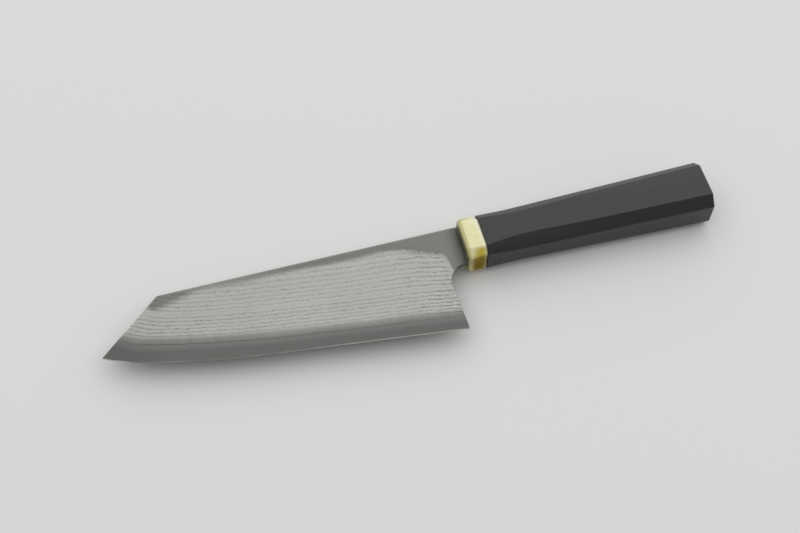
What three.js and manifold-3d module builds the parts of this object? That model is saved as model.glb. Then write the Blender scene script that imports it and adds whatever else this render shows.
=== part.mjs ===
// Kitchen knife with an angled point: a three-layer blade on a hidden tang, a bone ferrule and an octagonal
// wooden handle. Sizes are in millimetres.
// X runs from the point to the butt, Y from the cutting edge to the spine and Z from the right side to the
// left, so the knife lies on its right side. Pieces are drawn from the middle of the ferrule's front face,
// and the whole knife is then set with its origin under the middle of its box.

import * as THREE from 'three';
import { mergeVertices } from 'three/addons/utils/BufferGeometryUtils.js';
import Module from 'manifold-3d';

// Ferrule and handle: one octagon that widens towards the butt
const ferruleLength = 9.4;
const ferruleChamfer = 1.0;
const handleLength = 115.0;
const frontHalfWidth = 9.6;
const frontHalfHeight = 11.4;
const frontBevel = 3.6; // cut off each corner, along both of its sides
const shoulderLength = 15.2; // behind the ferrule, where the bevels widen
const shoulderBevel = 4.9;
const buttHalfWidth = 11.1;
const buttHalfHeight = 13.6;
const buttBevel = 4.85;
const buttChamfer = 0.8;

// Blade outline: reaches are from the ferrule's front face, rises and depths from the handle's axis
const tipReach = 176.8;
const tipDepth = 16.1;
const cornerReach = 147.0; // to the corner where the spine turns down to the tip
const spineStep = 0.8; // from the ferrule's top down to the spine
const spineFall = 0.9; // of the spine, from the ferrule to the corner
const neckStep = 1.2; // from the ferrule's bottom up to the neck
const neckLength = 1.0; // straight stretch between the ferrule and the choil
const choilRadius = 9.8;
const heelDepth = 44.3;
const heelLean = 1.4; // how far the heel comes back towards the handle, from the choil to the edge
const bellyReach = 105.0; // the edge is straight from the heel to here, then curves up to the tip
const bellyDepth = 33.3;
const bellyLead = 27.0; // how far the curve follows the straight edge's direction
const tipLead = 10.6; // how far the curve follows its own direction at the tip
const tipRise = 34.0; // of the edge at the tip, in degrees from the handle's axis

// Blade section
const spineThickness = 2.2;
const coreThickness = 0.64;
const grindHeight = 44.8; // of the ground faces, above the edge
const edgeThickness = 0.28; // where the sharpened bevel starts
const edgeBevelHeight = 0.9;
const neckFlat = 8.2; // of the neck ahead of the ferrule, left at full thickness
const plungeRadius = 9.0; // of the curve where the grinding stops

// Hidden tang and what holds it
const tangLength = 84.0;
const tangHalfHeight = 4.5;
const tangEndHalfHeight = 3.0;
const ferruleFrontWall = 3.0;
const dowelRadius = 7.0;
const beddingWall = 0.5;
const glueGap = 0.3; // between pieces that are glued one inside the other

// How finely curves are divided, and how far cutters run past what they cut
const bellySteps = 24;
const arcSteps = 16;
const roundSides = 48;
const overrun = 6.0;
const weldTolerance = 1e-4;

const spineRise = frontHalfHeight - spineStep;
const cornerRise = spineRise - spineFall;
const neckDepth = frontHalfHeight - neckStep;
const choilReach = neckLength + choilRadius;
const choilDepth = neckDepth + choilRadius;
const heelReach = choilReach - heelLean;
const buttReach = ferruleLength + handleLength;
const beddingEnd = tangLength + glueGap + beddingWall;
const dowelStart = ferruleFrontWall + glueGap;
const slotHalfHeight = tangHalfHeight + glueGap + beddingWall;
const slotHalfWidth = spineThickness / 2 + glueGap + beddingWall;

const corner = new THREE.Vector2(-cornerReach, cornerRise);
const tip = new THREE.Vector2(-tipReach, -tipDepth);
const choil = new THREE.Vector2(-choilReach, -choilDepth);
const heel = new THREE.Vector2(-heelReach, -heelDepth);
const belly = new THREE.Vector2(-bellyReach, -bellyDepth);

const wasm = await Module();
wasm.setup();

// The point that lies a length past the end of the line from one point to another
function beyond(from, to, length) {
  const step = to.clone().sub(from).setLength(length);
  return to.clone().add(step);
}

function toSolid(geometry) {
  geometry.deleteAttribute('normal');
  geometry.deleteAttribute('uv');
  const merged = mergeVertices(geometry, weldTolerance);
  const vertProperties = new Float32Array(merged.attributes.position.array);
  const triVerts = new Uint32Array(merged.index.array);
  return new wasm.Manifold(new wasm.Mesh({ numProp: 3, vertProperties, triVerts }));
}

function toGeometry(solid) {
  const { vertProperties, triVerts } = solid.getMesh();
  const shared = new THREE.BufferGeometry();
  shared.setAttribute('position', new THREE.BufferAttribute(vertProperties, 3));
  shared.setIndex(new THREE.BufferAttribute(triVerts, 1));
  const geometry = shared.toNonIndexed();
  geometry.computeVertexNormals();
  return geometry;
}

// Closed solid through convex rings of equally many points, which follow each other along X and turn from
// Y to Z
function loft(rings) {
  const count = rings[0].length;
  const last = (rings.length - 1) * count;
  const index = [];
  for (let start = 0; start < last; start += count) {
    for (let side = 0; side < count; side += 1) {
      const a = start + side;
      const b = start + (side + 1) % count;
      index.push(a, b, b + count);
      index.push(a, b + count, a + count);
    }
  }
  for (let side = 1; side < count - 1; side += 1) {
    index.push(0, side + 1, side);
    index.push(last, last + side, last + side + 1);
  }
  const geometry = new THREE.BufferGeometry().setFromPoints(rings.flat());
  geometry.setIndex(index);
  return toSolid(geometry);
}

// Plate of an outline in X and Y, with its thickness shared to both sides of the blade's middle
function plate(outline, thickness) {
  const geometry = new THREE.ExtrudeGeometry(outline, {
    depth: thickness,
    bevelEnabled: false,
    curveSegments: arcSteps,
  });
  geometry.translate(0, 0, -thickness / 2);
  return toSolid(geometry);
}

// Block between two values of X, centred on the handle's axis
function block(start, end, halfHeight, halfWidth) {
  const geometry = new THREE.BoxGeometry(end - start, 2 * halfHeight, 2 * halfWidth);
  geometry.translate((start + end) / 2, 0, 0);
  return toSolid(geometry);
}

// Round bar between two values of X, on the handle's axis
function bar(start, end, radius) {
  const geometry = new THREE.CylinderGeometry(radius, radius, end - start, roundSides);
  geometry.rotateZ(-Math.PI / 2);
  geometry.translate((start + end) / 2, 0, 0);
  return toSolid(geometry);
}

// Ring of the handle's octagon at a value of X, with an inset from its full size for chamfered ends
function octagon(x, halfWidth, halfHeight, bevel, inset = 0) {
  const width = halfWidth - inset;
  const height = halfHeight - inset;
  const cut = bevel - inset * (2 - Math.SQRT2);
  const quarter = [[height, width - cut], [height - cut, width]];
  const half = [...quarter, ...quarter.map(([y, z]) => [-y, z]).reverse()];
  const whole = [...half, ...half.map(([y, z]) => [y, -z]).reverse()];
  return whole.map(([y, z]) => new THREE.Vector3(x, y, z));
}

// Tang seen from the side, grown by a gap and started behind the ferrule's face
function tangOutline(start, gap) {
  const end = tangLength + gap;
  const outline = new THREE.Shape();
  outline.moveTo(start, tangHalfHeight + gap);
  outline.lineTo(end, tangEndHalfHeight + gap);
  outline.lineTo(end, -tangEndHalfHeight - gap);
  outline.lineTo(start, -tangHalfHeight - gap);
  return outline;
}

// Bar stock of the blade and tang, cut to every line of the outline but the edge, which the grinding makes
function stockPlate() {
  const tipEnd = beyond(corner, tip, overrun);
  const heelEnd = beyond(choil, heel, overrun);
  const outline = new THREE.Shape();
  outline.moveTo(0, spineRise);
  outline.lineTo(corner.x, corner.y);
  outline.lineTo(tipEnd.x, tipEnd.y);
  outline.lineTo(tipEnd.x, heelEnd.y);
  outline.lineTo(heelEnd.x, heelEnd.y);
  outline.lineTo(choil.x, choil.y);
  outline.absarc(-neckLength, -choilDepth, choilRadius, Math.PI, Math.PI / 2, true);
  outline.lineTo(0, -neckDepth);
  outline.lineTo(0, -tangHalfHeight);
  outline.lineTo(tangLength, -tangEndHalfHeight);
  outline.lineTo(tangLength, tangEndHalfHeight);
  outline.lineTo(0, tangHalfHeight);
  return plate(outline, spineThickness);
}

// Points of the cutting edge from past the tip to past the heel
function edgePoints() {
  const rise = THREE.MathUtils.degToRad(tipRise);
  const bellyTurn = beyond(heel, belly, bellyLead);
  const tipTurn = new THREE.Vector2(Math.cos(rise), -Math.sin(rise)).multiplyScalar(tipLead).add(tip);
  const curve = new THREE.CubicBezierCurve(tip, tipTurn, bellyTurn, belly);
  const heelEnd = beyond(belly, heel, heelReach + overrun);
  return [beyond(tipTurn, tip, overrun), ...curve.getPoints(bellySteps), heelEnd];
}

// Wedge that stands on the edge: the sharpened bevel and, above it, the two ground faces carried on past
// the spine
function groundWedge() {
  const slope = (spineThickness - edgeThickness) / 2 / (grindHeight - edgeBevelHeight);
  const top = heelDepth + spineRise + overrun;
  const topHalf = edgeThickness / 2 + slope * (top - edgeBevelHeight);
  const rings = edgePoints().map(({ x, y }) => [
    new THREE.Vector3(x, y, 0),
    new THREE.Vector3(x, y + edgeBevelHeight, -edgeThickness / 2),
    new THREE.Vector3(x, y + top, -topHalf),
    new THREE.Vector3(x, y + top, topHalf),
    new THREE.Vector3(x, y + edgeBevelHeight, edgeThickness / 2),
  ]);
  return loft(rings);
}

// Neck and tang, where the stock keeps its full thickness, up to the curve where the grinding stops
function fullThickness() {
  const top = spineRise + overrun;
  const plungeX = -neckFlat - plungeRadius;
  const grindTop = THREE.MathUtils.mapLinear(plungeX, heel.x, belly.x, heel.y, belly.y) + grindHeight;
  const plungeY = grindTop - plungeRadius;
  const bottom = plungeY - overrun;
  const end = tangLength + overrun;
  const outline = new THREE.Shape();
  outline.moveTo(plungeX, top);
  outline.lineTo(plungeX, grindTop);
  outline.absarc(plungeX, plungeY, plungeRadius, Math.PI / 2, 0, true);
  outline.lineTo(-neckFlat, bottom);
  outline.lineTo(end, bottom);
  outline.lineTo(end, top);
  return plate(outline, spineThickness + 2 * overrun);
}

// The three layers of the blade: the billet ground to shape, then parted at the two welds
function bladeLayers() {
  const blade = stockPlate().intersect(groundWedge().add(fullThickness()));
  const far = tipReach + tangLength;
  const coreSlab = block(-far, far, far, coreThickness / 2);
  const halfSpace = new THREE.BoxGeometry(2 * far, 2 * far, far);
  const leftSpace = toSolid(halfSpace.clone().translate(0, 0, far / 2));
  const rightSpace = toSolid(halfSpace.translate(0, 0, -far / 2));
  const skins = blade.subtract(coreSlab);
  return {
    core: blade.intersect(coreSlab),
    left: skins.intersect(leftSpace),
    right: skins.intersect(rightSpace),
  };
}

// Octagonal collar with a slot for the tang and a round seat for the dowel behind its front wall
function ferrule() {
  const section = [frontHalfWidth, frontHalfHeight, frontBevel];
  const collar = loft([
    octagon(0, ...section, ferruleChamfer),
    octagon(ferruleChamfer, ...section),
    octagon(ferruleLength - ferruleChamfer, ...section),
    octagon(ferruleLength, ...section, ferruleChamfer),
  ]);
  const slotEnd = ferruleFrontWall + overrun;
  const slot = block(-overrun, slotEnd, tangHalfHeight + glueGap, spineThickness / 2 + glueGap);
  const seat = bar(ferruleFrontWall, ferruleLength + overrun, dowelRadius + glueGap);
  return collar.subtract(slot).subtract(seat);
}

// Tapering octagon, bored from the front for the dowel
function handleBody() {
  const share = shoulderLength / (handleLength - buttChamfer);
  const shoulderHalfWidth = THREE.MathUtils.lerp(frontHalfWidth, buttHalfWidth, share);
  const shoulderHalfHeight = THREE.MathUtils.lerp(frontHalfHeight, buttHalfHeight, share);
  const butt = [buttHalfWidth, buttHalfHeight, buttBevel];
  const body = loft([
    octagon(ferruleLength, frontHalfWidth, frontHalfHeight, frontBevel),
    octagon(ferruleLength + shoulderLength, shoulderHalfWidth, shoulderHalfHeight, shoulderBevel),
    octagon(buttReach - buttChamfer, ...butt),
    octagon(buttReach, ...butt, buttChamfer),
  ]);
  return body.subtract(bar(ferruleLength - overrun, beddingEnd + glueGap, dowelRadius + glueGap));
}

// Dowel from the ferrule's seat to the bottom of the handle's bore, slotted from end to end for the bedding
function ferruleDowel() {
  const slotEnd = beddingEnd + overrun;
  const slot = block(dowelStart - overrun, slotEnd, slotHalfHeight + glueGap, slotHalfWidth + glueGap);
  return bar(dowelStart, beddingEnd, dowelRadius).subtract(slot);
}

// Resin sleeve that fills the dowel's slot round the tang and closes behind it
function tangBedding() {
  const sleeve = block(dowelStart, beddingEnd, slotHalfHeight, slotHalfWidth);
  const hollow = plate(tangOutline(0, glueGap), spineThickness + 2 * glueGap);
  return sleeve.subtract(hollow);
}

const coreSteel = new THREE.MeshStandardMaterial({ color: 0x7d7d78, roughness: 0.35, metalness: 0.9 });
const layeredSteel = new THREE.MeshStandardMaterial({ color: 0xa8aca5, roughness: 0.5, metalness: 0.8 });
const bone = new THREE.MeshStandardMaterial({ color: 0xe3dca6, roughness: 0.45, metalness: 0 });
const blackWood = new THREE.MeshStandardMaterial({ color: 0x231f1f, roughness: 0.45, metalness: 0 });
const paleWood = new THREE.MeshStandardMaterial({ color: 0xb08a5a, roughness: 0.7, metalness: 0 });
const resin = new THREE.MeshStandardMaterial({ color: 0x3b3128, roughness: 0.4, metalness: 0 });

const knife = new THREE.Group();

function addPiece(name, solid, material) {
  const piece = new THREE.Mesh(toGeometry(solid), material);
  piece.name = name;
  knife.add(piece);
}

const layers = bladeLayers();
addPiece('blade_core', layers.core, coreSteel);
addPiece('cladding_left', layers.left, layeredSteel);
addPiece('cladding_right', layers.right, layeredSteel);
addPiece('ferrule', ferrule(), bone);
addPiece('handle_body', handleBody(), blackWood);
addPiece('ferrule_dowel', ferruleDowel(), paleWood);
addPiece('tang_bedding', tangBedding(), resin);

const box = new THREE.Box3().setFromObject(knife);
const middle = box.getCenter(new THREE.Vector3());
knife.position.set(-middle.x, -middle.y, -box.min.z);

export default knife;
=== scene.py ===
"""Looks of a kitchen knife with an angled point, a layered blade and an octagonal handle.

Shapes are worked out in millimetres along the knife's own axes: X from the point to the butt, Y from the
cutting edge to the spine and Z from the right face to the left, counted from the middle of the ferrule's
front face. Each mesh is then written in metres, where the frame has that face.
"""

import math

import bmesh
import bpy
import numpy as np
from mathutils import Matrix, Vector
from mathutils.geometry import delaunay_2d_cdt


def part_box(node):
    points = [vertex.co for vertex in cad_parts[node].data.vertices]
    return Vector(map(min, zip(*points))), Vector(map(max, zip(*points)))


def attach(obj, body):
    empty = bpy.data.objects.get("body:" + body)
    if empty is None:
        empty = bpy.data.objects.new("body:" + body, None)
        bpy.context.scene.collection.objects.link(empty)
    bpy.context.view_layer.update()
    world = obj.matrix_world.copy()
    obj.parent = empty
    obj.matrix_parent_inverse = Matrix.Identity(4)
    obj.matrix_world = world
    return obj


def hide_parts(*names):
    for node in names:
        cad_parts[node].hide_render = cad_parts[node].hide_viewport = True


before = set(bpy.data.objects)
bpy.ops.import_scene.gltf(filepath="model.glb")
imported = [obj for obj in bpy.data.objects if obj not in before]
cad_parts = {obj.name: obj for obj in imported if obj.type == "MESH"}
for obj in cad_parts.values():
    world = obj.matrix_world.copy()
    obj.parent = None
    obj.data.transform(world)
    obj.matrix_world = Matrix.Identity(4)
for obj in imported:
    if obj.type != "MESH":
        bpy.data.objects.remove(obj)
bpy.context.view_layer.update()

MM = 0.001


def node_box(node):
    """Lowest and highest corner of a CAD node, in millimetres."""
    low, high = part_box(node)
    return np.array(low) / MM, np.array(high) / MM


# Places and sizes that the frame gives
ferrule_low, ferrule_high = node_box("ferrule")
origin = np.array([ferrule_low[0], *(ferrule_low + ferrule_high)[1:] / 2])
core_low, core_high = (corner - origin for corner in node_box("blade_core"))
skin_high = node_box("cladding_left")[1] - origin
handle_high = node_box("handle_body")[1] - origin
dowel_low, dowel_high = (corner - origin for corner in node_box("ferrule_dowel"))

FERRULE_LENGTH = ferrule_high[0] - ferrule_low[0]
FRONT_HALF_HEIGHT, FRONT_HALF_WIDTH = (ferrule_high - ferrule_low)[1:] / 2
BUTT_REACH, BUTT_HALF_HEIGHT, BUTT_HALF_WIDTH = handle_high
CORE_HALF = core_high[2]
SPINE_HALF = skin_high[2]
SPINE_RISE = skin_high[1]
TANG_REACH = core_high[0]
DOWEL_RADIUS = dowel_high[1]
DOWEL_START, DOWEL_END = dowel_low[0], dowel_high[0]
GLUE_GAP = 0.3

# Octagon of the ferrule and handle; a drop is a bevel's reach along Y where that differs from the one along Z
FERRULE_CHAMFER = 1.0
FRONT_CHAMFER_LENGTH = 1.3
REAR_CHAMFER_LENGTH = 1.9
FRONT_BEVEL = 3.6
SHOULDER_REACH = FERRULE_LENGTH + 15.2
SHOULDER_BEVEL = 4.9
SHOULDER_DROP = 5.45
SHOULDER_BLEND = 1.5
SWELL_REACH = FERRULE_LENGTH + 26.0
SWELL_DROP = 5.65
SWELL_END = FERRULE_LENGTH + 54.0
SWELL_END_DROP = 4.95
BUTT_BEVEL = 4.85
FERRULE_EASE = 0.15
HANDLE_EASE = 0.45
HANDLE_FRONT_EASE = 0.4
BUTT_EASE = 0.8

# Blade outline
TIP = np.array([core_low[0], -16.1])
CORNER = np.array([-147.0, SPINE_RISE - 0.9])
HEEL = np.array([-9.4, core_low[1]])
BELLY = np.array([-105.0, -33.3])
BELLY_LEAD = 27.0
TIP_LEAD = 10.6
TIP_RISE = math.radians(34.0)
NECK_LENGTH = 1.0
NECK_DEPTH = 10.2
CHOIL_RADIUS = 9.8
CHOIL = np.array([-NECK_LENGTH - CHOIL_RADIUS, -NECK_DEPTH - CHOIL_RADIUS])
TANG_HALF_HEIGHT = 4.5
TANG_END_HALF_HEIGHT = 3.0

# Blade section: sharpened bevel, crowned ground face, and stock that tapers from the neck to the point
EDGE_HALF = 0.08
EDGE_BEVEL = 0.55
GRIND_SLOPE = 0.0292
GRIND_CROWN = 0.000158
GRIND_BLEND = 0.03
STOCK_TAPER = 0.0012
TAPER_START = -35.0
BULGE = 1.3
BULGE_MIDDLE = -33.0
BULGE_REACH = 15.0
BULGE_FOOT = 15.0
BULGE_TOP = 41.0
HOLLOW = 1.47
HOLLOW_MIDDLE = -148.0
HOLLOW_REACH = 58.0
HOLLOW_FADE = [22.0, 36.0]
HOLLOW_LEFT = 0.4
POINT_THINNING = 1.95
POINT_REACH = 5.8
HEEL_SWELL = 0.9
HEEL_SWELL_START = -27.0
HAND_FOOT = 8.0
RIM_EASE = 0.25

# Plunge: the rounded end of the ground face before the neck
PLUNGE_CORNERS = np.array([[-40.0, 5.8], [-27.5, 5.3], [-9.1, -2.6], [-7.7, -13.0], [-1.7, -23.0]])
PLUNGE_RADII = [0, 30.0, 3.0, 0.5, 0]
PLUNGE_MIDDLE = -24.0
PLUNGE_REACH = 3.6
PLUNGE_FADE = 24.0

# How finely the shapes are divided: spacing of points, and points or steps on each curve
RIM_STEP = 1.0
FACE_STEP = 1.1
PLUNGE_STEP = 0.7
CLEAR_SHARE = 0.6
BELLY_POINTS = 71
CHOIL_POINTS = 19
PLUNGE_STEPS = 12
CORNER_STEPS = 4
CHAMFER_STEPS = 3
FRONT_STEPS = 4
BUTT_STEPS = 6
EASE_TURNS = np.radians([35, 62, 90])
WELD_HALVINGS = 30
WELD_START = 0.1

# What counts as touching, as one point and as no thickness
TOUCHING = 1e-3
SAME_POINT = 1e-5
NO_THICKNESS = 1e-4

# Which faces are the sharpened bevel, and the angles in degrees from which edges stay sharp
BEVEL_SHARE = 0.98
FACES_UP = 0.5
SHARP_ANGLE = 30
CLADDING_SHARP_ANGLE = 40


def unit(vector):
    return vector / np.linalg.norm(vector)


def stretch(start, end, step=RIM_STEP):
    """Points from start up to, but without, end."""
    count = max(1, round(np.linalg.norm(end - start) / step))
    return start + (end - start) * np.linspace(0, 1, count + 1)[:-1, None]


def cutting_edge():
    """The edge from the tip to the heel: a curve up to the belly, then a straight line."""
    tip_turn = TIP + TIP_LEAD * np.array([math.cos(TIP_RISE), -math.sin(TIP_RISE)])
    belly_turn = BELLY + BELLY_LEAD * unit(BELLY - HEEL)
    t = np.linspace(0, 1, BELLY_POINTS)[:-1, None]
    curve = (1 - t) ** 3 * TIP + 3 * (1 - t) ** 2 * t * tip_turn
    curve = curve + 3 * (1 - t) * t**2 * belly_turn + t**3 * BELLY
    return np.vstack([curve, stretch(BELLY, HEEL), [HEEL]])


def rounded(corners, radii, steps, closed):
    """A line through corners, each replaced by an arc of its radius."""
    made = []
    count = len(corners)
    for i, corner in enumerate(corners):
        if not closed and i in (0, count - 1):
            made.append(corner)
            continue
        back = unit(corners[i - 1] - corner)
        on = unit(corners[(i + 1) % count] - corner)
        half_angle = math.acos(np.clip(back @ on, -1, 1)) / 2
        middle = corner + unit(back + on) * radii[i] / math.sin(half_angle)
        start = corner + back * radii[i] / math.tan(half_angle) - middle
        end = corner + on * radii[i] / math.tan(half_angle) - middle
        for share in np.linspace(0, 1, steps + 1):
            turned = unit(start * (1 - share) + end * share)
            made.append(middle + radii[i] * turned)
    return np.array(made)


EDGE = cutting_edge()
PLUNGE_LINE = rounded(PLUNGE_CORNERS, PLUNGE_RADII, PLUNGE_STEPS, False)


def distance_to(points, line):
    """Distance of each point from a run of straight pieces."""
    nearest = np.full(len(points), np.inf)
    for start, end in zip(line[:-1], line[1:]):
        along = end - start
        share = np.clip((points - start) @ along / (along @ along), 0, 1)
        gap = np.linalg.norm(points - start - share[:, None] * along, axis=1)
        nearest = np.minimum(nearest, gap)
    return nearest


def within(points, outline):
    """Whether each point lies inside a closed outline."""
    inside = np.zeros(len(points), bool)
    x, y = points.T
    for (ax, ay), (bx, by) in zip(outline, np.roll(outline, -1, axis=0)):
        if ay != by:
            crossing = (ay > y) != (by > y)
            inside ^= crossing & (x < (bx - ax) * (y - ay) / (by - ay) + ax)
    return inside


def rise_of(points):
    """Height above the cutting edge."""
    return points[:, 1] - np.interp(points[:, 0], EDGE[:, 0], EDGE[:, 1])


def past_plunge(points):
    """How far a point lies past the plunge line towards the neck, negative on the ground face."""
    foot = HEEL[1] - PLUNGE_REACH
    closing = [[PLUNGE_LINE[-1, 0], foot], [PLUNGE_LINE[0, 0], foot]]
    ground = within(points, np.vstack([PLUNGE_LINE, closing]))
    return np.where(ground, -1, 1) * distance_to(points, PLUNGE_LINE)


def bell(offset):
    """A smooth hump, 1 at no offset."""
    return np.exp(-(offset**2))


def ground_face(points):
    """Half thickness of the crowned face, ground by hand: hollow, thin or full by a little in places."""
    x = points[:, 0]
    rise = rise_of(points)
    bulge = BULGE * bell((x - BULGE_MIDDLE) / BULGE_REACH)
    thin = HOLLOW * bell((x - HOLLOW_MIDDLE) / HOLLOW_REACH) * np.interp(rise, HOLLOW_FADE, [1, HOLLOW_LEFT])
    thin = thin + POINT_THINNING * bell(distance_to(points, np.array([TIP, CORNER])) / POINT_REACH)
    full = HEEL_SWELL * np.clip((x - HEEL_SWELL_START) / (HEEL[0] - HEEL_SWELL_START), 0, 1)
    rise = rise - bulge * np.clip((rise - BULGE_FOOT) / (BULGE_TOP - BULGE_FOOT), 0, 1)
    above = rise - (thin - full) * np.clip(rise / HAND_FOOT, 0, 1) - EDGE_BEVEL
    return EDGE_HALF + GRIND_SLOPE * above - GRIND_CROWN * above**2


def half_thickness(points):
    """Half of the blade's thickness: the ground face eases into the stock and into the plunge."""
    x = points[:, 0]
    rise = rise_of(points)
    stock = SPINE_HALF - STOCK_TAPER * np.maximum(0, TAPER_START - x)
    face = ground_face(points)
    half = (face + stock - np.hypot(face - stock, GRIND_BLEND)) / 2
    share = np.clip((x - PLUNGE_LINE[0, 0]) / PLUNGE_FADE, 0, 1)
    half = half + (stock - half) * share * np.clip(1 + past_plunge(points) / PLUNGE_REACH, 0, 1) ** 3
    return np.where(rise < EDGE_BEVEL, EDGE_HALF * np.maximum(rise, 0) / EDGE_BEVEL, half)


def weld_point(start, end):
    """Place between two points where the blade is as thick as its core."""
    low, high = start, end
    for _ in range(WELD_HALVINGS):
        middle = (low + high) / 2
        if half_thickness(middle[None])[0] < CORE_HALF:
            low = middle
        else:
            high = middle
    return (low + high) / 2


def weld_line():
    """The line where the cladding runs out on the ground face, from the tip line to the heel."""
    first = weld_point(TIP + WELD_START * (CORNER - TIP), CORNER)
    last = weld_point(HEEL + WELD_START * (CHOIL - HEEL), CHOIL)
    middle = []
    for x in np.arange(first[0] + RIM_STEP, last[0] - RIM_STEP / 2, RIM_STEP):
        foot = np.array([x, np.interp(x, EDGE[:, 0], EDGE[:, 1]) + EDGE_BEVEL])
        middle.append(weld_point(foot, foot + [0, BULGE_FOOT]))
    return np.vstack([[first], middle, [last]])


WELD = weld_line()


def upper_rim():
    """Tip line above the weld, and the spine up to the ferrule."""
    shoulder = np.array([0, SPINE_RISE])
    return np.vstack([stretch(WELD[0], CORNER), stretch(CORNER, shoulder), [shoulder]])


def lower_rim():
    """Neck, choil and heel down to the weld."""
    turn = np.linspace(0, math.pi / 2, CHOIL_POINTS)
    middle = np.array([-NECK_LENGTH, CHOIL[1]])
    arc = middle + CHOIL_RADIUS * np.stack([-np.sin(turn), np.cos(turn)], 1)
    shoulder = np.array([0, -NECK_DEPTH])
    return np.vstack([[shoulder], arc, stretch(CHOIL, WELD[-1])[1:], [WELD[-1]]])


UPPER_RIM = upper_rim()
LOWER_RIM = lower_rim()
TANG = np.array(
    [
        [0, TANG_HALF_HEIGHT],
        [TANG_REACH, TANG_END_HALF_HEIGHT],
        [TANG_REACH, -TANG_END_HALF_HEIGHT],
        [0, -TANG_HALF_HEIGHT],
    ]
)


def inset(line, gap):
    """The line moved to its right by the gap, mitred at its corners."""
    along = np.diff(line, axis=0)
    along /= np.linalg.norm(along, axis=1)[:, None]
    side = np.stack([along[:, 1], -along[:, 0]], 1)
    before = np.vstack([side[:1], side])
    after = np.vstack([side, side[-1:]])
    middle = before + after
    middle /= np.linalg.norm(middle, axis=1)[:, None]
    return line + gap * middle / np.sum(middle * after, axis=1)[:, None]


def grid(low, high, step):
    """Points of a triangular grid over a box."""
    rows = np.arange(low[1], high[1], step * math.sqrt(3) / 2)
    columns = np.arange(low[0], high[0], step)
    return np.array([[x + (i % 2) * step / 2, y] for i, y in enumerate(rows) for x in columns])


def triangulate(outline, lines, free):
    """Triangles that fill an outline, with edges along the lines and corners at the free points."""
    points = [Vector(p) for p in outline]
    edges = []
    for line in lines:
        first = len(points)
        points += [Vector(p) for p in line]
        edges += [(i, i + 1) for i in range(first, len(points) - 1)]
    points += [Vector(p) for p in free]
    made = delaunay_2d_cdt(points, edges, [list(range(len(outline)))], 1, SAME_POINT)
    return np.array([tuple(p) for p in made[0]]), np.array(made[2])


def free_points(outline, lines, step, low, high):
    """Grid points inside an outline that keep clear of it and of the lines."""
    points = grid(low, high, step)
    points = points[within(points, outline)]
    clear = distance_to(points, np.vstack([outline, outline[:1]])) > CLEAR_SHARE * step
    for line in lines:
        clear &= distance_to(points, line) > CLEAR_SHARE * step
    return points[clear]


def eased(points, half, rim, ease, floor):
    """Half thickness with its edge along the rim rounded over."""
    radius = np.minimum(ease, (half - floor) / 2)
    short = np.clip(radius - distance_to(points, rim), 0, None)
    return half - radius + np.sqrt(np.maximum(radius**2 - short**2, 0))


def ease_lines(rim, ease):
    """Lines beside a rim that carry its rounding."""
    return [inset(rim, ease * (1 - math.cos(turn))) for turn in EASE_TURNS]


def new_object(name, vertices, faces):
    """An object from points in the knife's own millimetres."""
    mesh = bpy.data.meshes.new(name)
    mesh.from_pydata(((np.asarray(vertices) + origin) * MM).tolist(), [], faces)
    mesh.validate()
    shape = bmesh.new()
    shape.from_mesh(mesh)
    bmesh.ops.recalc_face_normals(shape, faces=shape.faces)
    shape.to_mesh(mesh)
    shape.free()
    made = bpy.data.objects.new(name, mesh)
    bpy.context.scene.collection.objects.link(made)
    return made


def slab(name, points, triangles, top, bottom):
    """Closed solid between two heights over a triangulated outline, sharp where the heights meet."""
    sharp = top - bottom < NO_THICKNESS
    under = np.where(sharp, np.arange(len(points)), len(points) + np.cumsum(~sharp) - 1)
    middle = np.where(sharp, (top + bottom) / 2, top)
    lower = np.column_stack([points, bottom])[~sharp]
    vertices = np.vstack([np.column_stack([points, middle]), lower])
    faces = [tuple(t) for t in triangles] + [tuple(under[t][::-1]) for t in triangles]
    sides = {(a, b) for t in triangles for a, b in zip(t, np.roll(t, -1))}
    for a, b in sides:
        if (b, a) not in sides and not (sharp[a] and sharp[b]):
            wall = dict.fromkeys((b, a, under[a], under[b]))
            faces.append(tuple(wall))
    return new_object(name, vertices, [tuple(int(i) for i in face) for face in faces])


def smooth(piece, angle):
    """Smooth shading, with edges kept sharp above an angle and between materials."""
    mesh = piece.data
    mesh.shade_smooth()
    mesh.set_sharp_from_angle(angle=math.radians(angle))
    shape = bmesh.new()
    shape.from_mesh(mesh)
    for edge in shape.edges:
        if len({face.material_index for face in edge.link_faces}) > 1:
            edge.smooth = False
    shape.to_mesh(mesh)
    shape.free()


def make_core():
    """The core: its band along the edge is ground and sharpened, the rest lies flat under the cladding."""
    tip_rim = np.vstack([stretch(TIP, WELD[0]), [WELD[0]]])
    heel_rim = np.vstack([stretch(WELD[-1], HEEL), [HEEL]])
    outline = np.vstack([tip_rim[:-1], UPPER_RIM, TANG, LOWER_RIM[:-1], heel_rim[:-1], EDGE[:0:-1]])
    bevel_line = EDGE[1:-1] + [0, EDGE_BEVEL]
    bevel_line = bevel_line[within(bevel_line, outline)]
    band = np.vstack([tip_rim[:-1], WELD, heel_rim[1:-1], EDGE[:0:-1]])
    free = free_points(band, [WELD, bevel_line], FACE_STEP, band.min(0), band.max(0))
    points, triangles = triangulate(outline, [WELD, bevel_line], free)
    half = np.minimum(half_thickness(points), CORE_HALF)
    half = np.where(distance_to(points, EDGE) < TOUCHING, 0, half)
    return slab("core_layer", points, triangles, half, -half)


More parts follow.
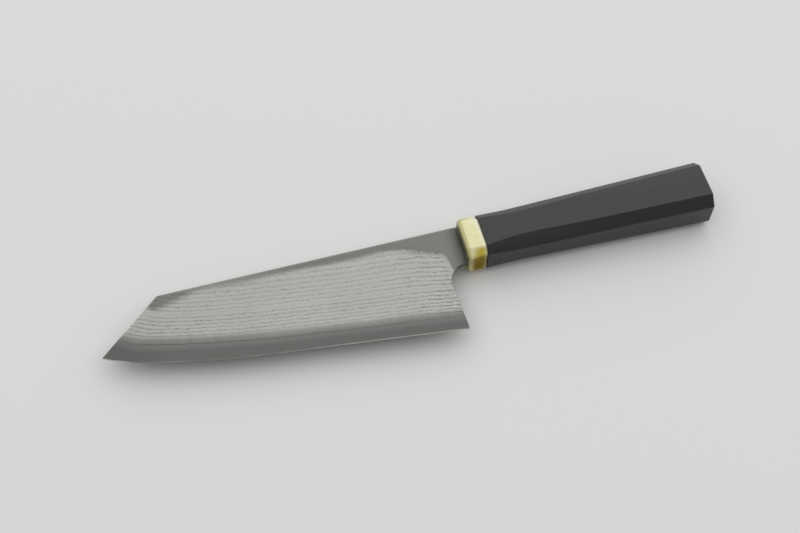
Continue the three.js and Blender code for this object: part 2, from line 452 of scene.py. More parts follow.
def make_cladding(name, side):
    """One side's cladding, from the flat weld out to the ground face, the plunge and the neck."""
    outline = np.vstack([WELD[0], UPPER_RIM[1:], TANG, LOWER_RIM[:-1], WELD[:0:-1]])
    lines = ease_lines(UPPER_RIM, RIM_EASE) + ease_lines(LOWER_RIM, RIM_EASE)
    lines = [line[within(line, outline)] for line in lines]
    low, high = outline.min(0), np.array([0, SPINE_RISE])
    wide = free_points(outline, lines, FACE_STEP, low, np.array([PLUNGE_MIDDLE, high[1]]))
    close = free_points(outline, lines, PLUNGE_STEP, np.array([PLUNGE_MIDDLE, low[1]]), high)
    points, triangles = triangulate(outline, lines, np.vstack([wide, close]))
    half = np.maximum(half_thickness(points), CORE_HALF)
    half = np.where(points[:, 0] > -TOUCHING, SPINE_HALF, half)
    for rim in (UPPER_RIM, LOWER_RIM):
        half = eased(points, half, rim, RIM_EASE, CORE_HALF)
    half = np.where(distance_to(points, WELD) < TOUCHING, CORE_HALF, half)
    flat = np.full(len(points), CORE_HALF)
    if side > 0:
        return slab(name, points, triangles, half, flat)
    return slab(name, points, triangles, -flat, -half)


def octagon(half_height, half_width, bevel, ease, shrink):
    """Rounded octagon in the Y and Z plane, drawn in by an even margin, with its bevel along both sides."""
    height, width = half_height - shrink, half_width - shrink
    drop, cut = np.array(bevel) - (2 - math.sqrt(2)) * shrink
    quarter = [(height, width - cut), (height - drop, width)]
    half = quarter + [(-y, z) for y, z in reversed(quarter)]
    corners = np.array(half + [(y, -z) for y, z in reversed(half)])
    return rounded(corners, [ease] * len(corners), CORNER_STEPS, True)


def ring(x, section):
    return np.column_stack([np.full(len(section), x), section])


def circle_like(section, radius):
    """A circle with a point in the direction of each point of a section."""
    return radius * section / np.linalg.norm(section, axis=1)[:, None]


def slot_like(section, half_height, half_width):
    """A rectangle with a point in the direction of each point of a section, four of them at its corners."""
    size = np.array([half_height, half_width])
    made = section / np.max(np.abs(section) / size, axis=1)[:, None]
    for corner in ((1, 1), (1, -1), (-1, 1), (-1, -1)):
        target = size * corner
        made[np.argmin(np.linalg.norm(made - target, axis=1))] = target
    return made


def loft(name, rings, closed):
    """Skin through rings of equally many points, joined end to end or capped."""
    count = len(rings[0])
    faces = []
    pairs = list(zip(range(len(rings)), range(1, len(rings))))
    if closed:
        pairs.append((len(rings) - 1, 0))
    for a, b in pairs:
        for i in range(count):
            j = (i + 1) % count
            faces.append((a * count + i, a * count + j, b * count + j, b * count + i))
    if not closed:
        faces.append(tuple(range(count)))
        faces.append(tuple(range((len(rings) - 1) * count, len(rings) * count)))
    return new_object(name, np.vstack(rings), faces)


def make_ferrule():
    """Collar with chamfered ends, a slot for the tang and a round seat for the dowel."""
    length, chamfer = FERRULE_LENGTH, FERRULE_CHAMFER
    front = [(0, 2 * chamfer), (0, chamfer), (FRONT_CHAMFER_LENGTH, 0)]
    rear = [(length - REAR_CHAMFER_LENGTH, 0), (length, chamfer), (length, 2 * chamfer)]
    profile = np.array(front + rear)
    profile = rounded(profile, [FERRULE_EASE] * len(profile), CHAMFER_STEPS, False)
    size = (FRONT_HALF_HEIGHT, FRONT_HALF_WIDTH, (FRONT_BEVEL, FRONT_BEVEL), FERRULE_EASE)
    outer = [ring(x, octagon(*size, shrink)) for x, shrink in profile]
    section = outer[0][:, 1:]
    wall = DOWEL_START - GLUE_GAP
    slot = slot_like(section, TANG_HALF_HEIGHT + GLUE_GAP, SPINE_HALF + GLUE_GAP)
    seat = circle_like(section, DOWEL_RADIUS + GLUE_GAP)
    inner = [ring(length, seat), ring(wall, seat), ring(wall, slot), ring(0, slot)]
    return loft("bone_collar", outer + inner, True)


def handle_section(x, shrink):
    """The handle's octagon at a place along it: its bevels widen to the shoulder and ease off behind it."""
    share = (x - FERRULE_LENGTH) / (BUTT_REACH - FERRULE_LENGTH)
    height = FRONT_HALF_HEIGHT + share * (BUTT_HALF_HEIGHT - FRONT_HALF_HEIGHT)
    width = FRONT_HALF_WIDTH + share * (BUTT_HALF_WIDTH - FRONT_HALF_WIDTH)
    stations = [FERRULE_LENGTH, SHOULDER_REACH, SWELL_REACH, SWELL_END, BUTT_REACH]
    drop = np.interp(x, stations, [FRONT_BEVEL, SHOULDER_DROP, SWELL_DROP, SWELL_END_DROP, BUTT_BEVEL])
    cut = np.interp(x, stations, [FRONT_BEVEL, *[SHOULDER_BEVEL] * 3, BUTT_BEVEL])
    return octagon(height, width, (drop, cut), HANDLE_EASE, shrink)


def make_handle():
    """Tapering octagon with eased ends, bored from the front for the dowel."""
    start, end = FERRULE_LENGTH, BUTT_REACH
    inner = FRONT_HALF_WIDTH / 4
    front = np.array([(start, inner), (start, 0), (SHOULDER_REACH - SHOULDER_BLEND, 0)])
    swell = np.array([(SHOULDER_REACH + SHOULDER_BLEND, 0), (SWELL_REACH, 0)])
    back = np.array([(SWELL_END, 0), (end, 0), (end, inner)])
    front = rounded(front, [0, HANDLE_FRONT_EASE, 0], FRONT_STEPS, False)
    back = rounded(back, [0, BUTT_EASE, 0], BUTT_STEPS, False)
    outer = [ring(x, handle_section(x, shrink)) for x, shrink in np.vstack([front, swell, back])]
    bore = circle_like(outer[0][:, 1:], DOWEL_RADIUS + GLUE_GAP)
    rings = [ring(DOWEL_END + GLUE_GAP, bore), ring(start, bore)] + outer
    return loft("wood_handle", rings, False)


class Shader:
    """Builds one material's nodes. Places and scales in it are in the knife's own millimetres."""

    def __init__(self, name):
        self.material = bpy.data.materials.new(name)
        self.material.use_nodes = True
        self.tree = self.material.node_tree
        self.surface = self.tree.nodes["Principled BSDF"]

    def node(self, kind, inputs=(), **settings):
        made = self.tree.nodes.new("ShaderNode" + kind)
        for key, value in settings.items():
            setattr(made, key, value)
        for key, value in dict(inputs).items():
            self.put(made.inputs[key], value)
        return made

    def put(self, socket, value):
        if isinstance(value, bpy.types.NodeSocket):
            self.tree.links.new(value, socket)
        else:
            socket.default_value = value

    def set(self, **values):
        """Sets the surface's inputs, with _ for a space in their names."""
        for key, value in values.items():
            self.put(self.surface.inputs[key.replace("_", " ")], value)

    def math(self, operation, first, second=0.0, third=0.0):
        made = self.node("Math", {0: first, 1: second, 2: third}, operation=operation)
        return made.outputs[0]

    def place(self):
        """Position along the knife's own axes."""
        here = self.node("TexCoord").outputs["Object"]
        inputs = {"Vector": here, "Location": tuple(-origin), "Scale": (1 / MM,) * 3}
        return self.node("Mapping", inputs).outputs[0]

    def axes(self, vector):
        return self.node("SeparateXYZ", {0: vector}).outputs

    def depth(self, place):
        """Half thickness of the blade where its surface lies."""
        return self.math("ABSOLUTE", self.axes(place)["Z"])

    def steepness(self):
        """How far the surface turns away from the blade's flat, from 0 to 1."""
        turned = self.axes(self.node("NewGeometry").outputs["Normal"])["Z"]
        return self.math("SUBTRACT", 1.0, self.math("ABSOLUTE", turned))

    def noise(self, vector, scale, detail=2.0, roughness=0.5):
        """Noise with so many features a millimetre along each axis."""
        scaled = self.node("Mapping", {"Vector": vector, "Scale": scale}).outputs[0]
        inputs = {"Vector": scaled, "Scale": 1.0, "Detail": detail, "Roughness": roughness}
        return self.node("TexNoise", inputs).outputs[0]

    def swing(self, value, reach):
        """A noise's departure from its mean, times a reach."""
        return self.math("MULTIPLY_ADD", value, reach, -reach / 2)

    def total(self, *values):
        added = values[0]
        for value in values[1:]:
            added = self.math("ADD", added, value)
        return added

    def product(self, *values):
        made = values[0]
        for value in values[1:]:
            made = self.math("MULTIPLY", made, value)
        return made

    def fade(self, value, low, high, start=0.0, end=1.0):
        """A smooth step of a value from low to high."""
        inputs = {"Value": value, "From Min": low, "From Max": high, "To Min": start, "To Max": end}
        return self.node("MapRange", inputs, interpolation_type="SMOOTHSTEP").outputs[0]

    def peak(self, value, middle, reach):
        """A hump of 1 at the middle of a value, 0 beyond its reach."""
        off = self.math("ABSOLUTE", self.math("SUBTRACT", value, middle))
        return self.fade(off, 0.0, reach, 1.0, 0.0)

    def past_line(self, place, foot, angle):
        """Distance past a line over the blade's face, on its spine side."""
        normal = (-math.sin(angle), math.cos(angle), 0.0)
        inputs = {0: place, 1: normal}
        along = self.node("VectorMath", inputs, operation="DOT_PRODUCT").outputs["Value"]
        return self.math("SUBTRACT", along, foot[0] * normal[0] + foot[1] * normal[1])

    def mix(self, share, first, second):
        made = self.node("Mix", data_type="RGBA")
        self.put(made.inputs[0], share)
        for socket, colour in ((made.inputs[6], first), (made.inputs[7], second)):
            self.put(socket, colour)
        return made.outputs[2]

    def lighten(self, colour, amount):
        """A colour times an amount."""
        if isinstance(colour, tuple):
            colour = colour[:3]
        made = self.node("VectorMath", {0: colour, "Scale": amount}, operation="SCALE")
        return made.outputs[0]

    def bump(self, height, depth):
        return self.node("Bump", {"Height": height, "Distance": depth * MM}).outputs[0]


def steel(level):
    """The faintly green grey of the etched cladding."""
    return (0.975 * level, level, 0.92 * level, 1.0)


def core_grey(level):
    """The plainer grey of the core."""
    return (0.98 * level, level, 0.945 * level, 1.0)


# The cladding as a stack of layers, counted by the half thickness at which each one is cut
LAYER = 0.0465
FIRST_LINE = 0.397
FAINT_LINE = 6.0
THIN_LAYER = 0.009
THIN_LAYER_SPAN = (0.65, 0.71)
LINE_HALF = (0.04, 0.22)
# painted highlight: a bright lip below each dark line
LIP_OFFSET = 0.3
LIP_HALF = (0.0, 0.2)
LIP_HIGHLIGHT = 0.4
RIPPLE = 0.022
CRINKLE = 0.034

# The seam of core and cladding, and how far past it the steel has paled and the layers lie open
SEAM = 0.2715
SEAM_HALF = 0.014
SEAM_JOGS = 0.04
POINT_LIFT = 0.0145
HEEL_LIFT = 0.012
PALING = (0.005, 0.147)
OPENING = (0.05, 0.12)
CORE_HAZE = (-0.105, -0.018)
CORE_END = (-0.005, 0.01)

# Stretches along the blade over which its look changes
POINT_LIFTED = (-92.0, -112.0)
HEEL_LIFTED = (-27.0, -10.0)
HEEL_OPENED = (-40.0, -14.0)
ETCH_FROM_POINT = (-155.0, -80.0)
ETCH_TO_HEEL = (-38.0, -9.0)
# painted light: the layers grow lighter from the point to the heel
PAINTED_LIGHT_TO_HEEL = (-165.0, -60.0)
DULL_TO_NECK = (-34.0, -20.0)
FRAYED_TO_NECK = (-38.0, -22.0)
SKIN_NARROWS = (-108.0, -90.0)
SKIN_DARKENS = (-105.0, -80.0)
# painted shade on the neck, darkest by the ferrule
FERRULE_SHADE = (-8.0, -0.5)
# painted highlight over real wear along the tip line
TIP_WEAR_HIGHLIGHT = (-168.0, -163.0)
RIM_BRIGHTENS = (-5.0, -9.0)
CORE_PALES = (-168.0, -140.0)
SEAM_FROM_TIP = (-168.0, -150.0)
SEAM_EASES = (-116.0, -106.0)
SEAM_FADES = (-45.0, -32.0)
# painted highlight on the sharpened bevel, growing towards the heel, and a painted glint at the tip
EDGE_HIGHLIGHT_GROWS = (-130.0, -30.0)
TIP_GLINT = (-164.0, -169.0)

# Dark patch at the corner of the spine, and the lines that the rims follow
PATCH_FOOT = (-150.5, 2.1)
PATCH_ANGLE = math.radians(17.2)
PATCH_END = (-151.3, 4.2)
PATCH_END_ANGLE = math.radians(-39.8)
SPINE_ANGLE = math.atan2(SPINE_RISE - CORNER[1], -CORNER[0])
TIP_ANGLE = math.atan2(CORNER[1] - TIP[1], CORNER[0] - TIP[0])

# Greys of the steel
SEAM_SIDE = steel(0.168)
OPEN_LAYERS = steel(0.37)
PLAIN_SKIN = steel(0.17)
# painted highlight over real wear on the rims, and painted shade on the rims under the neck
WORN_RIM_HIGHLIGHT = steel(0.6)
RIM_SHADE = steel(0.04)
CORE_LOW = core_grey(0.117)
CORE_HIGH = core_grey(0.152)
SEAM_LINE = core_grey(0.06)

# Colours of the bone
BONE_DULL = (0.75, 0.715, 0.41, 1)
BONE_PALE = (0.8, 0.78, 0.51, 1)
BONE_FIBRE = (0.62, 0.56, 0.27, 1)
# painted highlight on the rear chamfer
BONE_REAR_HIGHLIGHT = (0.9, 0.89, 0.7, 1)
# painted shade on the front chamfer
BONE_FRONT_SHADE = (0.58, 0.54, 0.24, 1)
# painted shade on the front face, darkest where the neck enters
BONE_NECK_SHADE = (0.07, 0.05, 0.025, 1)
# painted shade on the bevels of the spine
BONE_BEVEL_SHADE = (0.4, 0.4, 0.15, 1)
BONE_AMBER = (0.525, 0.415, 0.065, 1)
# real brown stain, darkened as painted shade on the belly
BONE_BROWN_AND_SHADE = (0.15, 0.09, 0.003, 1)
BONE_PORE = (0.3, 0.22, 0.08, 1)

# Dark, light and pore colour of each wood, and its roughness, relief and specular level
BLACK_WOOD = [(0.0065, 0.0045, 0.004, 1), (0.013, 0.0095, 0.0085, 1), (0.003, 0.0023, 0.002, 1)]
BLACK_FINISH = (0.25, 0.025, 0.66)
PALE_WOOD = [(0.36, 0.2, 0.08, 1), (0.48, 0.3, 0.13, 1), (0.2, 0.1, 0.04, 1)]
PALE_FINISH = (0.6, 0.05, 0.5)

# Colours of the resin and the floor
RESIN_DARK = (0.03, 0.02, 0.013, 1)
RESIN_LIGHT = (0.07, 0.05, 0.035, 1)
FLOOR_GREY = (0.7, 0.7, 0.695, 1)
FLOOR_ROUGHNESS = 0.9


def wavering(s, place):
    """Half thickness with the slow waver of forged layers, which shifts where each one is cut."""
    ripple = s.noise(place, (0.2, 0.32, 1.2))
    return s.math("ADD", s.depth(place), s.swing(ripple, RIPPLE))


def crinkled(s, place, cut):
    """The wavering half thickness with the fine crinkle of each layer's edge."""
    crinkle = s.noise(place, (0.55, 0.7, 1.5))
    grit = s.noise(place, (1.1, 0.9, 1.5))
    return s.total(cut, s.swing(crinkle, CRINKLE), s.swing(grit, CRINKLE))


def past_seam(s, place, cut):
    """Half thickness past the seam of core and cladding, which lies a little higher at the point and heel."""
    x = s.axes(place)["X"]
    point_lift = s.fade(x, *POINT_LIFTED, 0.0, POINT_LIFT)
    heel_lift = s.fade(x, *HEEL_LIFTED, 0.0, HEEL_LIFT)
    jogs = s.swing(s.noise(place, (0.16, 0.05, 0.05), 4.0, 0.7), SEAM_JOGS)
    return s.math("SUBTRACT", s.math("ADD", cut, jogs), s.total(SEAM, point_lift, heel_lift))


def by_seam(s, past):
    """Steel that pales from the seam to the open layers."""
    return s.mix(s.fade(past, *PALING), SEAM_SIDE, OPEN_LAYERS)


def layered_steel():
    """Etched stack of layers, cut open by the grinding, under a plain skin where the stock is left."""
    s = Shader("layered_steel")
    place = s.place()
    x = s.axes(place)["X"]
    cut = wavering(s, place)
    past = past_seam(s, place, cut)
    cut = crinkled(s, place, cut)
    taper = s.math("MULTIPLY", s.math("MINIMUM", s.math("SUBTRACT", x, TAPER_START), 0.0), STOCK_TAPER)
    ground_off = s.math("SUBTRACT", s.math("ADD", taper, SPINE_HALF), s.depth(place))

    # Dark line where each layer meets the next, with a painted highlight as a bright lip below it
    squeeze = s.fade(cut, *THIN_LAYER_SPAN, -FIRST_LINE, THIN_LAYER - FIRST_LINE)
    phase = s.math("DIVIDE", s.math("ADD", cut, squeeze), LAYER)
    number = s.math("FLOOR", s.math("ADD", phase, 0.5))
    each = s.node("TexWhiteNoise", {"W": number}, noise_dimensions="1D").outputs[0]
    line = s.fade(s.math("PINGPONG", phase, 0.5), *LINE_HALF, 1.0, 0.0)
    lip_phase = s.math("ADD", phase, LIP_OFFSET)
    lip_highlight = s.fade(s.math("PINGPONG", lip_phase, 0.5), *LIP_HALF, LIP_HIGHLIGHT, 0.0)
    step = s.math("SUBTRACT", lip_highlight, line)
    broken = s.fade(s.noise(place, (0.13, 0.42, 2.0), 3.0, 0.65), 0.3, 0.65, 0.45, 1.1)
    faint = s.fade(s.math("ABSOLUTE", s.math("SUBTRACT", number, FAINT_LINE)), 0.0, 1.0, 0.15, 1.0)
    opened = s.math("MAXIMUM", s.fade(past, *OPENING), s.fade(x, *HEEL_OPENED))
    contrast = s.total(s.fade(x, *ETCH_FROM_POINT, 0.26, 0.19), s.fade(x, *ETCH_TO_HEEL, 0.0, 0.27))
    contrast = s.product(contrast, s.fade(number, 4.0, 8.0, 1.17, 0.75))
    etch = s.product(contrast, broken, faint, opened, s.math("MULTIPLY_ADD", each, 0.25, 0.85))

    # Pale layers, with painted light that brightens them from the point to the heel, dull before the neck,
    # with a dark mottled patch at the corner of the spine
    speckle = s.noise(place, (2.4, 2.4, 2.4), 3.0, 0.7)
    cloud = s.noise(place, (0.05, 0.09, 0.5), 3.0)
    streaks = s.noise(place, (0.16, 0.6, 0.7), 3.0, 0.65)
    tone = s.total(1.0, s.swing(speckle, 0.2), s.swing(cloud, 0.12), s.swing(each, 0.05))
    tone = s.math("ADD", tone, s.math("MULTIPLY", step, etch))
    patch_end = s.math("MULTIPLY", s.past_line(place, PATCH_END, PATCH_END_ANGLE), 2.0)
    patch = s.math("MINIMUM", s.past_line(place, PATCH_FOOT, PATCH_ANGLE), patch_end)
    patch = s.math("ADD", patch, s.swing(streaks, 3.0))
    tone = s.product(tone, s.fade(x, *PAINTED_LIGHT_TO_HEEL, 0.93, 1.0), s.fade(patch, -3.4, 1.8, 1.0, 0.5))
    dull_end = s.product(s.fade(ground_off, 0.125, 0.02, 0.0, 0.26), s.fade(x, *DULL_TO_NECK))
    tone = s.math("MULTIPLY", tone, s.math("SUBTRACT", 1.0, dull_end))
    layers = s.lighten(by_seam(s, past), tone)

    # Plain skin, with painted shade just past the ground face and painted shade on the neck towards the
    # ferrule
    fraying = s.product(s.fade(x, *FRAYED_TO_NECK, 0.016, 0.13), s.fade(ground_off, 0.0, 0.02, 0.1, 1.0))
    waver = s.product(s.swing(s.noise(place, (1.1, 1.1, 1.5)), 1.0), fraying)
    reach = s.fade(x, *SKIN_NARROWS, 0.085, 0.048)
    bare = s.fade(s.math("ADD", ground_off, waver), reach, 0.01)
    brushing = s.noise(place, (0.05, 3.0, 3.0), 3.0, 0.6)
    mottle = s.noise(place, (0.5, 0.7, 0.7), 3.0, 0.65)
    skin_tone = s.total(1.0, s.swing(brushing, 0.12), s.swing(cloud, 0.1))
    # painted shade, darkest just past the ground face
    skin_tone = s.product(skin_tone, s.fade(ground_off, 0.008, 0.003, 0.92, 1.0))
    skin_tone = s.product(skin_tone, s.fade(x, *SKIN_DARKENS, 1.2, 1.0))
    # painted shade that darkens the neck towards the ferrule
    ferrule_shade = s.fade(s.math("ADD", x, s.swing(mottle, 4.0)), *FERRULE_SHADE, 1.0, 0.6)
    skin = s.lighten(PLAIN_SKIN, s.product(skin_tone, ferrule_shade))

    # Rims: a painted highlight over real wear, and painted shade on the rims under the neck by the ferrule
    spine_wear_highlight = s.fade(s.past_line(place, CORNER, SPINE_ANGLE), -0.9, 0.0, 0.0, 0.3)
    tip_wear_highlight = s.fade(s.past_line(place, TIP, TIP_ANGLE), -0.6, -0.1, 0.0, 0.55)
    tip_wear_highlight = s.math("MULTIPLY", tip_wear_highlight, s.fade(x, *TIP_WEAR_HIGHLIGHT))
    rim = s.fade(s.steepness(), 0.03, 0.2, 0.0, 0.8)
    bright = s.math("MAXIMUM", s.fade(x, *RIM_BRIGHTENS), s.fade(s.axes(place)["Y"], -5.0, 0.0))
    rim_shade = s.math("MULTIPLY", rim, s.math("SUBTRACT", 1.0, bright))
    rim_wear_highlight = s.math("MULTIPLY", rim, bright)
    wear_and_highlight = s.math("MAXIMUM", rim_wear_highlight, s.math("MAXIMUM", spine_wear_highlight, tip_wear_highlight))
    colour = s.mix(rim_shade, s.mix(bare, layers, skin), RIM_SHADE)
    s.set(Base_Color=s.mix(wear_and_highlight, colour, WORN_RIM_HIGHLIGHT), Metallic=1.0)

    etched = s.total(0.36, s.math("MULTIPLY", speckle, 0.16), s.math("MULTIPLY", line, 0.1))
    polished = s.math("MULTIPLY_ADD", brushing, 0.14, 0.26)
    s.set(Roughness=s.node("Mix", {0: bare, 2: etched, 3: polished}).outputs[0])
    relief = s.math("MULTIPLY_ADD", speckle, 0.6, step)
    s.set(Normal=s.bump(s.math("MULTIPLY", relief, s.math("SUBTRACT", 1.0, bare)), 0.01))
    return s.material


def core_steel():
    """Plain hard steel with fine polishing lines, a hazy upper part and a thin dark seam at the cladding."""
    s = Shader("core_steel")
    place = s.place()
    x = s.axes(place)["X"]
    past = past_seam(s, place, wavering(s, place))
    lines = s.noise(place, (0.03, 2.6, 2.6), 4.0, 0.65)
    cloud = s.noise(place, (0.05, 0.14, 0.14), 3.0)
    tone = s.total(1.0, s.swing(lines, 0.14), s.swing(cloud, 0.1))
    tone = s.math("MULTIPLY", tone, s.fade(x, *CORE_PALES, 0.88, 1.0))
    plain = s.mix(s.fade(past, *CORE_HAZE), CORE_LOW, CORE_HIGH)
    plain = s.mix(s.fade(past, *CORE_END), plain, by_seam(s, past))
    strength = s.product(s.fade(cloud, 0.35, 0.65, 0.34, 0.47), s.fade(x, *SEAM_FADES, 1.0, 0.4))
    strength = s.product(strength, s.fade(x, *SEAM_EASES, 1.25, 1.0), s.fade(x, *SEAM_FROM_TIP, 0.5, 1.0))
    plain = s.mix(s.product(s.peak(past, 0.0, SEAM_HALF), strength), plain, SEAM_LINE)
    s.set(Base_Color=s.lighten(plain, tone), Metallic=1.0)
    s.set(Roughness=s.math("MULTIPLY_ADD", lines, 0.16, 0.3))
    s.set(Normal=s.bump(lines, 0.002))
    return s.material


def honed_edge():
    """Sharpened bevel with scratches across it, with a painted highlight that grows towards the heel and a
    painted glint at the tip.
    """
    s = Shader("honed_edge")
    place = s.place()
    scratches = s.noise(place, (4.2, 0.5, 0.5), 3.0, 0.7)
    patches = s.noise(place, (0.12, 0.1, 0.1), 2.0)
    x = s.axes(place)["X"]
    # painted highlight along the bevel and painted glint at the tip
    bright = s.total(s.fade(x, *EDGE_HIGHLIGHT_GROWS, 0.14, 0.24), s.fade(x, *TIP_GLINT, 0.0, 0.16))
    bright = s.math("ADD", bright, s.swing(patches, 0.14))
    tone = s.math("MULTIPLY", bright, s.math("MULTIPLY_ADD", scratches, 0.5, 0.75))
    s.set(Base_Color=s.lighten(steel(1.0), tone), Metallic=1.0)
    s.set(Roughness=s.math("MULTIPLY_ADD", scratches, 0.2, 0.25))
    s.set(Normal=s.bump(scratches, 0.003))
    return s.material


def bone():
    """Pale polished bone: faint fibres, small pores and an amber stain low on its rear half, with painted
    light and shade on its chamfers, bevels, front face and belly.
    """
    s = Shader("bone")
    place = s.place()
    x, y, z = s.axes(place)
    aside = s.math("ABSOLUTE", z)
    fibres = s.noise(place, (0.1, 0.8, 0.8), 4.0, 0.6)
    cloud = s.noise(place, (0.13, 0.16, 0.16))
    blotch = s.noise(place, (0.28, 0.3, 0.3), 3.0, 0.6)
    pale = s.mix(s.fade(cloud, 0.35, 0.7), BONE_DULL, BONE_PALE)
    pale = s.mix(s.fade(fibres, 0.5, 0.8, 0.0, 0.15), pale, BONE_FIBRE)

    # Painted highlight on the rear chamfer, olive painted shade on the front chamfer and the bevels of the
    # spine, and painted shade on the front face, darkest at the joint with the neck
    rear_chamfer = FERRULE_LENGTH - REAR_CHAMFER_LENGTH
    # painted highlight on the rear chamfer
    pale = s.mix(s.fade(x, rear_chamfer - 0.3, rear_chamfer + 0.3, 0.0, 0.7), pale, BONE_REAR_HIGHLIGHT)
    # painted shade on the front chamfer
    pale = s.mix(s.fade(x, FRONT_CHAMFER_LENGTH, 0.9, 0.0, 0.8), pale, BONE_FRONT_SHADE)
    # painted shade on the front face by the neck
    neck_shade = s.fade(aside, SPINE_HALF + 6.5, SPINE_HALF + 2.5, 0.0, 0.85)
    pale = s.mix(s.product(neck_shade, s.fade(x, 0.4, 0.1)), pale, BONE_NECK_SHADE)
    flank = FRONT_HALF_WIDTH - FRONT_BEVEL
    top = FRONT_HALF_HEIGHT - FRONT_BEVEL
    # painted shade on the bevels of the spine
    bevel_shade = s.product(s.fade(y, top, top + 1.2), s.fade(aside, flank - 0.6, flank + 0.4))
    pale = s.mix(s.product(bevel_shade, s.fade(x, 7.0, 2.0, 0.25, 0.6)), pale, BONE_BEVEL_SHADE)

    # Stain that deepens from the lower bevels to the belly, its brown there partly painted shade
    low = s.math("MULTIPLY_ADD", y, -0.8, s.math("MULTIPLY", aside, -0.35))
    low = s.math("ADD", low, s.swing(blotch, 1.6))
    along = s.math("MULTIPLY_ADD", low, 0.35, s.math("ADD", x, s.swing(blotch, 2.0)))
    front = s.fade(along, 3.0, 7.0, 0.08, 1.0)
    rear = s.fade(x, rear_chamfer - 1.0, FERRULE_LENGTH, 1.0, 0.5)
    amber = s.product(s.fade(low, 2.7, 4.4), front, rear)
    mottle = s.fade(s.noise(place, (0.6, 0.7, 0.7), 3.0, 0.6), 0.35, 0.65, 0.62, 1.0)
    brown_and_shade = s.product(s.fade(low, 5.6, 8.2), front, rear, mottle)
    colour = s.mix(brown_and_shade, s.mix(amber, pale, BONE_AMBER), BONE_BROWN_AND_SHADE)
    pores = s.fade(s.noise(place, (0.7, 1.3, 1.3), 1.0), 0.72, 0.8)
    s.set(Base_Color=s.mix(s.math("MULTIPLY", pores, 0.5), colour, BONE_PORE))
    s.set(Roughness=s.math("MULTIPLY_ADD", fibres, 0.2, 0.25))
    s.set(Specular_IOR_Level=s.math("MULTIPLY_ADD", s.math("MAXIMUM", amber, brown_and_shade), -0.17, 0.22))
    s.set(Normal=s.bump(s.math("SUBTRACT", s.math("MULTIPLY", fibres, 0.3), pores), 0.02))
    s.set(Subsurface_Weight=0.1, Subsurface_Radius=(0.6, 0.5, 0.25), Subsurface_Scale=0.002)
    return s.material


def wood(name, dark, light, pore_colour, finish):
    """Wood with its grain along the handle: broad figure, fine grain and long open pores."""
    rough, relief, specular = finish
    s = Shader(name)
    place = s.place()
    figure = s.noise(place, (0.009, 0.16, 0.16), 4.0, 0.6)
    grain = s.noise(place, (0.045, 2.4, 2.4), 4.0, 0.65)
    colour = s.mix(s.fade(figure, 0.35, 0.7), dark, light)
    colour = s.lighten(colour, s.math("MULTIPLY_ADD", grain, 0.7, 0.65))
    pores = s.fade(s.noise(place, (0.16, 3.6, 3.6), 1.0), 0.68, 0.76)
    s.set(Base_Color=s.mix(pores, colour, pore_colour))
    s.set(Roughness=s.total(s.math("MULTIPLY", grain, 0.3), s.math("MULTIPLY", pores, 0.2), rough))
    s.set(Normal=s.bump(s.math("SUBTRACT", s.math("MULTIPLY", grain, 0.4), pores), relief))
    s.set(Specular_IOR_Level=specular)
    return s.material


def resin():
    """Dark hardened resin with a faint mottle."""
    s = Shader("resin")
    mottle = s.noise(s.place(), (0.4, 0.4, 0.4), 3.0)
    s.set(Base_Color=s.mix(mottle, RESIN_DARK, RESIN_LIGHT))
    s.set(Roughness=s.math("MULTIPLY_ADD", mottle, 0.2, 0.3))
    return s.material


def floor_paint():
    """Plain pale matt floor."""
    s = Shader("floor_paint")
    s.set(Base_Color=FLOOR_GREY, Roughness=FLOOR_ROUGHNESS)
    return s.material


# Camera of the photograph, with its place in metres
CAMERA_PLACE = (-0.10305, -0.30375, 0.5647)
CAMERA_YAW = math.radians(17.115)
CAMERA_PITCH = math.radians(59.182)
CAMERA_ROLL = math.radians(1.999)
SENSOR_WIDTH = 36.0
FOCAL_LENGTH = 60.75
NEAREST_SEEN = 0.01

# Floor and light, in metres and watts
FLOOR_HALF = 8.0
LAMP_PLACE = (1.5, 2.5, 2.0)
LAMP_SIZE = 8.0
LAMP_POWER = 194.0
SURROUND_COLOUR = (1.0, 1.0, 1.0, 1)
SURROUND_STRENGTH = 0.3


def dress(piece, body, materials, replaced):
    """Gives a piece its materials and its place in the model."""
    for material in materials:
        piece.data.materials.append(material)
    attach(piece, body)
    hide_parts(replaced)


def mark_edge(core):
    """Gives the sharpened bevel's faces the second material."""
    for face in core.data.polygons:
        middle = np.array([face.center[:2]]) / MM - origin[:2]
        if rise_of(middle)[0] < EDGE_BEVEL * BEVEL_SHARE and abs(face.normal.z) > FACES_UP:
            face.material_index = 1


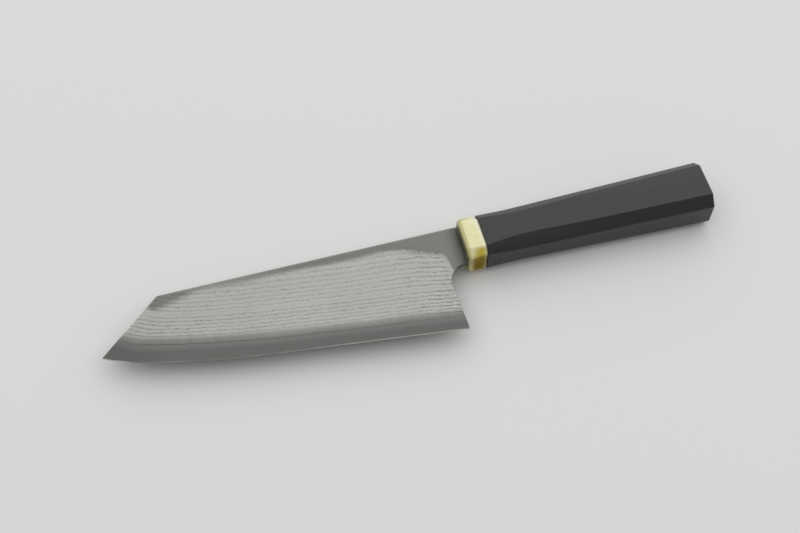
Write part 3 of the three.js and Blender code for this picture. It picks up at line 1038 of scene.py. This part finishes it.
def place_camera():
    """Camera of the photograph: its angles and place were fitted to the knife's corners."""
    turn = Matrix.Rotation(-CAMERA_YAW, 3, "Z") @ Matrix.Rotation(math.pi / 2 - CAMERA_PITCH, 3, "X")
    turn = turn @ Matrix.Rotation(CAMERA_ROLL, 3, "Z")
    lens = bpy.data.cameras.new("camera")
    lens.sensor_width = SENSOR_WIDTH
    lens.lens = FOCAL_LENGTH
    lens.clip_start = NEAREST_SEEN
    camera = bpy.data.objects.new("camera", lens)
    camera.matrix_world = Matrix.Translation(CAMERA_PLACE) @ turn.to_4x4()
    bpy.context.scene.collection.objects.link(camera)
    bpy.context.scene.camera = camera


def make_stage():
    """Pale floor under the knife, one wide soft lamp above and behind it, and a dim even surround."""
    half = FLOOR_HALF
    corners = [(-half, -half, 0), (half, -half, 0), (half, half, 0), (-half, half, 0)]
    mesh = bpy.data.meshes.new("floor")
    mesh.from_pydata(corners, [], [(0, 1, 2, 3)])
    floor = bpy.data.objects.new("floor", mesh)
    floor.data.materials.append(floor_paint())
    bpy.context.scene.collection.objects.link(floor)
    lamp = bpy.data.lights.new("softbox", "AREA")
    lamp.shape = "SQUARE"
    lamp.size = LAMP_SIZE
    lamp.energy = LAMP_POWER
    softbox = bpy.data.objects.new("softbox", lamp)
    softbox.location = LAMP_PLACE
    bpy.context.scene.collection.objects.link(softbox)
    world = bpy.data.worlds.new("surround")
    world.use_nodes = True
    background = world.node_tree.nodes["Background"]
    background.inputs["Color"].default_value = SURROUND_COLOUR
    background.inputs["Strength"].default_value = SURROUND_STRENGTH
    bpy.context.scene.world = world


core = make_core()
dress(core, "root", [core_steel(), honed_edge()], "blade_core")
mark_edge(core)
smooth(core, SHARP_ANGLE)
layered = layered_steel()
for name, side, node in (("left_layers", 1, "cladding_left"), ("right_layers", -1, "cladding_right")):
    cladding = make_cladding(name, side)
    dress(cladding, "root", [layered], node)
    smooth(cladding, CLADDING_SHARP_ANGLE)
collar = make_ferrule()
dress(collar, "root", [bone()], "ferrule")
smooth(collar, SHARP_ANGLE)
handle = make_handle()
black_wood = wood("black_wood", *BLACK_WOOD, BLACK_FINISH)
dress(handle, "root", [black_wood], "handle_body")
smooth(handle, SHARP_ANGLE)
pale_wood = wood("pale_wood", *PALE_WOOD, PALE_FINISH)
for node, material in (("ferrule_dowel", pale_wood), ("tang_bedding", resin())):
    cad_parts[node].data.materials.clear()
    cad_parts[node].data.materials.append(material)

place_camera()
make_stage()
bpy.context.scene.view_settings.view_transform = "Standard"
